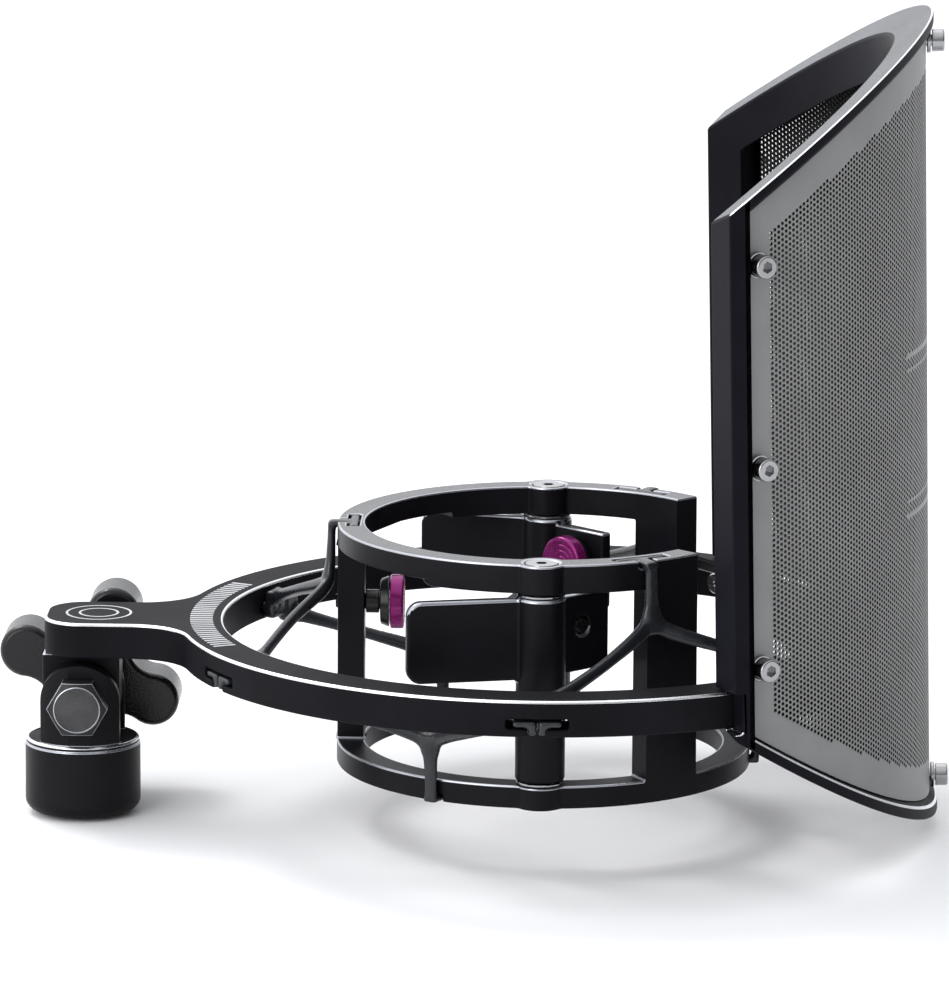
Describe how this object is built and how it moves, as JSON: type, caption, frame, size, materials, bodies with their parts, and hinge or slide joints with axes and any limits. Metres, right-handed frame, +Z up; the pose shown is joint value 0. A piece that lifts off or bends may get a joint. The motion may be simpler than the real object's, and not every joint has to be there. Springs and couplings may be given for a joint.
{
  "type": "microphone shock mount with pop filter",
  "caption": "Microphone shock mount on a tilting stand adapter, with a sprung clamp cage inside a hoop and a curved perforated pop filter in front.",
  "frame": {"origin": "middle of the stand collar's bottom face, on the axis of its thread", "axes": "+Z up along the stand, +X from the stand towards the singer, +Y away from the bolt head, towards the clamp knob"},
  "size_m": [0.2364, 0.1804, 0.2018],
  "materials": {
    "satin_black": "satin near-black with a fine moulded grain and polished edges",
    "adapter_black": "semi-gloss black powder coat with a fine orange peel",
    "frame_black": "fine-textured black powder coat",
    "screen_steel": "dull grey perforated sheet, lightly brushed",
    "moulded_black": "coarse matt black moulding",
    "suspension_black": "smooth satin elastomer",
    "purple": "deep purple, semi-gloss",
    "black_steel": "black oxide with a worn face",
    "chrome": "bright plated",
    "brass": "turned, dull",
    "nylon": "matt",
    "spring_steel": "drawn wire"
  },
  "bodies": {
    "stand_adapter": {"stand_collar": "adapter_black", "thread_insert": "brass", "tilt_bolt": "black_steel", "friction_washer_near": "nylon", "friction_washer_far": "nylon", "knob_washer": "chrome"},
    "knob": {"clamp_knob": "moulded_black", "knob_insert": "brass"},
    "arm": {"swivel_tongue": "adapter_black", "tongue_screw": "chrome", "arm_hoop": "satin_black", "suspension_upper_60": "suspension_black", "suspension_upper_180": "suspension_black", "suspension_upper_300": "suspension_black", "suspension_lower_0": "suspension_black", "suspension_lower_120": "suspension_black", "suspension_lower_240": "suspension_black", "shield_frame": "frame_black", "shield_mesh": "screen_steel", "hoop_screw_near": "chrome", "hoop_screw_far": "chrome", "mesh_screw_near_1": "chrome", "mesh_washer_near_1": "chrome", "mesh_screw_near_2": "chrome", "mesh_washer_near_2": "chrome", "mesh_screw_near_3": "chrome", "mesh_washer_near_3": "chrome", "mesh_screw_far_1": "chrome", "mesh_washer_far_1": "chrome", "mesh_screw_far_2": "chrome", "mesh_washer_far_2": "chrome", "mesh_screw_far_3": "chrome", "mesh_washer_far_3": "chrome", "mesh_screw_front_top": "chrome", "mesh_washer_front_top": "chrome", "mesh_screw_front_bottom": "chrome", "mesh_washer_front_bottom": "chrome"},
    "cage": {"mic_cage": "satin_black", "rear_pad_nut": "moulded_black", "near_jaw_pin": "chrome", "near_jaw_spring": "spring_steel", "near_upper_washer": "chrome", "near_lower_washer": "chrome", "near_upper_screw": "chrome", "near_lower_screw": "chrome", "far_jaw_pin": "chrome", "far_jaw_spring": "spring_steel", "far_upper_washer": "chrome", "far_lower_washer": "chrome", "far_upper_screw": "chrome", "far_lower_screw": "chrome"},
    "near_jaw": {"near_jaw": "satin_black"},
    "far_jaw": {"far_jaw": "satin_black"},
    "rear_pad": {"rear_pad": "purple", "rear_pad_stud": "moulded_black"},
    "near_pad": {"near_pad": "purple", "near_pad_stud": "moulded_black"},
    "far_pad": {"far_pad": "purple", "far_pad_stud": "moulded_black"}
  },
  "joints": [
    {"name": "arm_tilt", "type": "hinge", "parent": "stand_adapter", "child": "arm", "pos_m": [0, 0, 0.029], "axis": [0, 1, 0], "range_deg": [-90, 75]},
    {"name": "knob_turn", "type": "hinge", "parent": "stand_adapter", "child": "knob", "pos_m": [0, 0.02, 0.029], "axis": [0, 1, 0], "continuous": true},
    {"name": "cage_float", "type": "slide", "parent": "arm", "child": "cage", "axis": [0, 0, 1], "range_m": [-0.0025, 0.0025], "stiffness_N_per_m": 3000, "deforming": ["suspension_upper_60", "suspension_upper_180", "suspension_upper_300", "suspension_lower_0", "suspension_lower_120", "suspension_lower_240"]},
    {"name": "near_jaw_swing", "type": "hinge", "parent": "cage", "child": "near_jaw", "pos_m": [0.114, -0.0477, 0.0553], "axis": [0, 0, -1], "range_deg": [0, 18], "stiffness_Nm_per_rad": 0.15, "springref_deg": -22.92},
    {"name": "far_jaw_swing", "type": "hinge", "parent": "cage", "child": "far_jaw", "pos_m": [0.114, 0.0477, 0.0553], "axis": [0, 0, 1], "range_deg": [0, 18], "stiffness_Nm_per_rad": 0.15, "springref_deg": -22.92},
    {"name": "rear_pad_screw", "type": "slide", "parent": "cage", "child": "rear_pad", "axis": [1, 0, 0], "range_m": [0, 0.005]},
    {"name": "near_pad_screw", "type": "slide", "parent": "near_jaw", "child": "near_pad", "axis": [-0.7009, 0.7132, 0], "range_m": [0, 0.002]},
    {"name": "far_pad_screw", "type": "slide", "parent": "far_jaw", "child": "far_pad", "axis": [-0.7009, -0.7132, 0], "range_m": [0, 0.002]}
  ]
}
